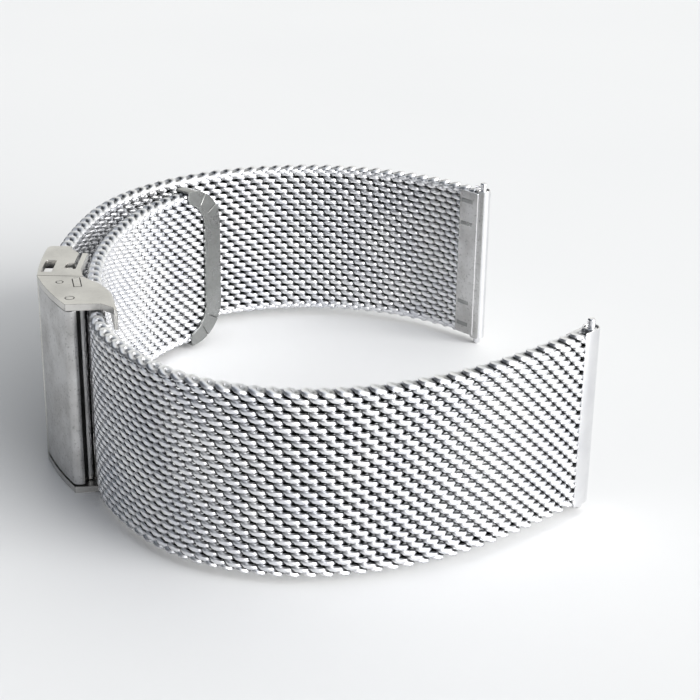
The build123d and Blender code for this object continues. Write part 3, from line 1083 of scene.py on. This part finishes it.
@dataclass
class Metalwork:
    """The clasp, end tubes, spring bars and cap: CAD shapes with softened edges.

    Attributes:
        frame: The loaded CAD model.
        finishes: The band's materials.
        edge: The usual width of a rounded edge.
        plate_edge: The side plates' rounded edge.
        bar_edge: The same on the slider's bars and pin.
        housing_edge: The same on the housing.
        thin_edge: The same on the hook and the tail's cap.
        pin_edge: The same on the spring bars.
        rounding_steps: The faces across a rounded edge.
        sharp: The angle past which an edge is rounded, in degrees.
        crease: The angle past which an edge isn't smooth, in degrees.
        flat: The angle under which faces are joined as one, in degrees.
        weld: The distance at which points are merged.
        facing: How squarely a face looks one way to get the painted shade finish.
        lip_span: Where a tube's lip starts and ends along the strap.
        lip_sheet: The lip's thickness.
        lip_rise: The lip's outer face above the strap's middle line.
        tab_face: The tab's inner face below that line.
        mark_size: A punch mark's length, depth and height.
        mark_rise: How far a mark stands out of the tab.
        mark_back: How far the marks lie behind the last coil.
        mark_places: The marks' heights on the band's middle.
    """

    frame: dict
    finishes: Finishes
    edge: float = 0.07 * MM
    plate_edge: float = 0.22 * MM
    bar_edge: float = 0.1 * MM
    housing_edge: float = 0.08 * MM
    thin_edge: float = 0.05 * MM
    pin_edge: float = 0.04 * MM
    rounding_steps: int = 2
    sharp: float = 32.0
    crease: float = 40.0
    flat: float = 0.8
    weld: float = 0.002 * MM
    facing: float = 0.7
    lip_span: tuple[float, float] = (-0.55 * MM, 1.5 * MM)
    lip_sheet: float = 0.2 * MM
    lip_rise: float = 1.03 * MM
    tab_face: float = 1.2 * MM
    mark_size: tuple[float, float, float] = (2.0 * MM, 0.09 * MM, 0.6 * MM)
    mark_rise: float = 0.02 * MM
    mark_back: float = 0.25 * MM
    mark_places: tuple = (9.2 * MM, 5.9 * MM, -5.9 * MM, -9.2 * MM)

    def soften(
        self,
        node: str,
        name: str,
        edge: float,
        finish: bpy.types.Material,
        edge_finish: bpy.types.Material,
    ) -> bpy.types.Object:
        """Copies a CAD node and rounds its edges.

        Args:
            node: The CAD node's name.
            name: The new piece's name.
            edge: How wide the rounding is.
            finish: The material of its faces.
            edge_finish: The material of its rounded edges.

        Returns:
            The new piece.
        """
        source = self.frame["nodes"][node]
        piece = bpy.data.objects.new(name, source.data.copy())
        bpy.context.scene.collection.objects.link(piece)
        only(piece)
        bpy.ops.object.mode_set(mode="EDIT")
        bpy.ops.mesh.select_all(action="SELECT")
        bpy.ops.mesh.remove_doubles(threshold=self.weld)
        bpy.ops.mesh.dissolve_limited(angle_limit=math.radians(self.flat))
        bpy.ops.mesh.normals_make_consistent(inside=False)
        bpy.ops.object.mode_set(mode="OBJECT")
        dress(piece, finish)
        piece.data.materials.append(edge_finish)
        apply_modifier(
            piece,
            "BEVEL",
            material=1,
            width=edge,
            segments=self.rounding_steps,
            limit_method="ANGLE",
            angle_limit=math.radians(self.sharp),
            use_clamp_overlap=True,
        )
        only(piece)
        bpy.ops.object.shade_smooth_by_angle(angle=math.radians(self.crease))
        apply_modifier(piece, "WEIGHTED_NORMAL", weight=80, keep_sharp=True)
        return piece

    def fit(
        self,
        node: str,
        body: str,
        material: bpy.types.Material,
        edge: float | None = None,
        edge_finish: bpy.types.Material | None = None,
    ) -> bpy.types.Object:
        """Makes the softened piece that stands for a CAD node.

        Args:
            node: The CAD node's name.
            body: The body that it rides on.
            material: Its finish.
            edge: The rounding's width, or None for the usual one.
            edge_finish: The rounding's finish, or None for the piece's own.

        Returns:
            The new piece.
        """
        width = self.edge if edge is None else edge
        piece = self.soften(node, f"{node}_finished", width, material, edge_finish or material)
        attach(piece, body)
        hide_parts(node)
        report(piece)
        return piece

    def paint_shade_facing(
        self, piece: bpy.types.Object, facing: Vector, material: bpy.types.Material
    ) -> None:
        """Gives the faces that look one way a darker finish, as painted shade.

        Args:
            piece: A finished piece.
            facing: The way that the chosen faces look.
            material: Their darker finish, painted shade.
        """
        piece.data.materials.append(material)
        last = len(piece.data.materials) - 1
        for face in piece.data.polygons:
            if face.normal.dot(facing) > self.facing:
                face.material_index = last

    def blocks(
        self, name: str, size: tuple[float, float, float], centres: list[tuple], round_by: float
    ) -> bpy.types.Object:
        """Makes one piece of equal rounded blocks.

        Args:
            name: The piece's name.
            size: A block's length, depth and height.
            centres: The middles of the blocks.
            round_by: How wide the rounding is.

        Returns:
            The piece, placed in its vertices.
        """
        made = []
        for centre in centres:
            bpy.ops.object.select_all(action="DESELECT")
            bpy.ops.mesh.primitive_cube_add(size=1.0)
            block = bpy.context.active_object
            block.scale = size
            block.location = centre
            bpy.ops.object.transform_apply(location=True, rotation=True, scale=True)
            apply_modifier(block, "BEVEL", width=round_by, segments=self.rounding_steps)
            made.append(block)
        only(*made)
        bpy.ops.object.join()
        piece = bpy.context.active_object
        piece.name = name
        bpy.ops.object.shade_smooth_by_angle(angle=math.radians(self.crease))
        return piece

    def dress_tab(self, strap: str, body: str, place: Matrix, onward: int, weave: Weave) -> None:
        """Adds an end tube's lip over the mesh's outer face, and its tab's punch marks.

        Args:
            strap: The strap's name.
            body: The body that carries the tube.
            place: The frame of the last coil, with Y pointing out of the loop.
            onward: 1 where the frame's X points to the tube, or -1.
            weave: The mesh, whose width the lip covers.
        """
        low, high = self.lip_span
        lip = self.blocks(
            f"{strap}_end_lip",
            (high - low, self.lip_sheet, weave.width),
            [(onward * (low + high) / 2, self.lip_rise - self.lip_sheet / 2, weave.middle)],
            self.lip_sheet / 3,
        )
        dress(lip, self.finishes.bright)
        depth = -self.tab_face + self.mark_size[1] / 2 - self.mark_rise
        marks = self.blocks(
            f"{strap}_tab_marks",
            self.mark_size,
            [(-onward * self.mark_back, depth, weave.middle + rise) for rise in self.mark_places],
            self.mark_size[1] / 3,
        )
        dress(marks, self.finishes.rim)
        for piece in (lip, marks):
            piece.data.transform(place)
            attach(piece, body)
            report(piece)

    def clasp(self) -> None:
        """Finishes the slider, its lever and the hook half."""
        look = self.finishes
        # the rounded edges of plates, bars and housing get the near black steel as painted shade
        # and painted dark reflection
        for node in ("upper_side_plate", "lower_side_plate"):
            self.fit(node, "slider", look.plate, self.plate_edge, look.edge)
        for node in ("base_bar", "hook_bar", "lever_pin"):
            self.fit(node, "slider", look.plate, self.bar_edge, look.edge)
        lever = self.fit("locking_lever", "locking_lever", look.satin)
        # the lever's faces towards the strap get the near black steel as painted shade
        self.paint_shade_facing(lever, Vector((1, 0, 0)), look.edge)
        self.fit(
            "hook_housing", "hook_half", look.plate, self.housing_edge, look.edge
        )
        self.fit("hook_plate", "hook_half", look.bright, self.thin_edge)

    def strap_end(self, strap: str, body: str, place: Matrix, onward: int, weave: Weave) -> None:
        """Finishes the tube and the spring bar at a strap's end.

        Args:
            strap: The strap's name.
            body: The body that carries the tube.
            place: The frame of the last coil, with Y pointing out of the loop.
            onward: 1 where the frame's X points to the tube, or -1.
            weave: The mesh that the tube holds.
        """
        look = self.finishes
        tube = self.fit(f"{strap}_end_tube", body, look.bright)
        # the tube's faces that look into the loop get the darker satin steel as painted shade
        self.paint_shade_facing(tube, -place.to_3x3().col[1], look.satin)
        self.dress_tab(strap, body, place, onward, weave)
        self.fit(f"{strap}_bar_barrel", body, look.bright, self.pin_edge)
        for end in ("upper", "lower"):
            tip = f"{strap}_bar_{end}_tip"
            self.fit(tip, f"{strap}_{end}_tip", look.bright, self.pin_edge)

    def build(self, straps: Straps) -> None:
        """Finishes every metal fitting of the band.

        Args:
            straps: The woven straps that the end fittings hold.
        """
        self.clasp()
        self.fit("tail_end_cap", "tail_4", self.finishes.rim, self.thin_edge)
        for strap, body, route, links in (
            ("front", "front_7", straps.front, straps.front_segments),
            ("short", "short_8", straps.short, straps.short_segments),
        ):
            place = route.at(links * straps.link)
            self.strap_end(strap, body, place, route.onward, straps.loom.weave)


# Table, light and camera


@dataclass(frozen=True)
class SkyPart:
    """A soft-edged part of the room round the band, as it shows in the steel.

    Attributes:
        middle: The direction of its middle.
        edge: The cosines from the middle at which it starts and is whole.
        colour: Its light.
    """

    middle: tuple
    edge: tuple
    colour: tuple


@dataclass
class Studio:
    """The pale table, the soft light and the camera."""

    table_size: float = 60.0
    camera_place: tuple = (6.246 * MM, -194.4679 * MM, 96.03 * MM)
    pitch: float = 0.40780884
    roll: float = 0.01900229
    lens: float = 86.772
    sensor: float = 36.0
    shift: tuple = (-0.019711, -0.012110)
    clip: tuple = (0.01, 100.0)
    dim_sky: tuple = (0.05, 0.058, 0.07, 1)
    ceiling: SkyPart = SkyPart((0.25, 0.05, 0.97), (0.6, 0.84), (0.62, 0.67, 0.74, 1))
    bright_side: SkyPart = SkyPart((0.87, -0.5, 0.0), (0.2, 0.8), (1.9, 1.9, 1.9, 1))
    back_wall: SkyPart = SkyPart((0.35, 0.8, 0.48), (0.6, 0.84), (1.0, 1.0, 0.96, 1))
    window: SkyPart = SkyPart((0.82, -0.49, 0.3), (0.87, 0.95), (11.9, 11.9, 11.7, 1))

    def build(self) -> None:
        """Sets up everything that isn't part of the band."""
        self.table()
        self.light()
        self.camera()

    def table(self) -> None:
        """Lays the table under the band."""
        bpy.ops.object.select_all(action="DESELECT")
        bpy.ops.mesh.primitive_plane_add(size=self.table_size, location=(0, 0, 0))
        table = bpy.context.active_object
        table.name = "table"
        dress(table, TableTop().build())

    def light(self) -> None:
        """Lights the band with the room around it, each part laid over the ones before it."""
        world = bpy.data.worlds.new("studio")
        bpy.context.scene.world = world
        world.use_nodes = True
        tree = world.node_tree
        colour = None
        for part in (self.ceiling, self.bright_side, self.back_wall, self.window):
            mix = add_node(tree, "ShaderNodeMix", data_type="RGBA")
            mix.inputs["A"].default_value = self.dim_sky
            mix.inputs["B"].default_value = part.colour
            if colour is not None:
                tree.links.new(colour, mix.inputs["A"])
            tree.links.new(self.share_of(tree, part), mix.inputs["Factor"])
            colour = mix.outputs["Result"]
        tree.links.new(colour, tree.nodes["Background"].inputs["Color"])

    def share_of(self, tree: bpy.types.NodeTree, part: SkyPart) -> bpy.types.NodeSocket:
        """How far each direction lies in a part of the sky.

        Args:
            tree: The world's node tree.
            part: The part of the sky.

        Returns:
            A value that is 1 inside the part and 0 away from it.
        """
        where = tree.nodes.new("ShaderNodeTexCoord")
        across = add_node(tree, "ShaderNodeVectorMath", operation="DOT_PRODUCT")
        across.inputs[1].default_value = part.middle
        tree.links.new(where.outputs["Generated"], across.inputs[0])
        ramp = add_node(tree, "ShaderNodeMapRange", interpolation_type="SMOOTHSTEP")
        set_limits(ramp, "From", part.edge)
        tree.links.new(across.outputs["Value"], ramp.inputs["Value"])
        return ramp.outputs["Result"]

    def camera(self) -> None:
        """Places the camera at the photograph's viewing angle."""
        camera = bpy.data.cameras.new("camera")
        camera.lens = self.lens
        camera.sensor_width = self.sensor
        camera.shift_x, camera.shift_y = self.shift
        camera.clip_start, camera.clip_end = self.clip
        seen = bpy.data.objects.new("camera", camera)
        bpy.context.scene.collection.objects.link(seen)
        tilt = Matrix.Rotation(math.pi / 2 - self.pitch, 4, "X")
        seen.matrix_world = (
            Matrix.Translation(self.camera_place) @ tilt @ Matrix.Rotation(self.roll, 4, "Z")
        )
        bpy.context.scene.camera = seen


def main() -> None:
    """Builds the scene piece by piece."""
    logging.basicConfig(level=logging.INFO, format="%(name)s: %(message)s")
    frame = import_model()
    bpy.context.scene.view_settings.view_transform = "Standard"
    finishes = Finishes()
    straps = Straps(Loom(Weave()), finishes)
    straps.build()
    Metalwork(frame, finishes).build(straps)
    Studio().build()


if __name__ == "__main__":
    main()
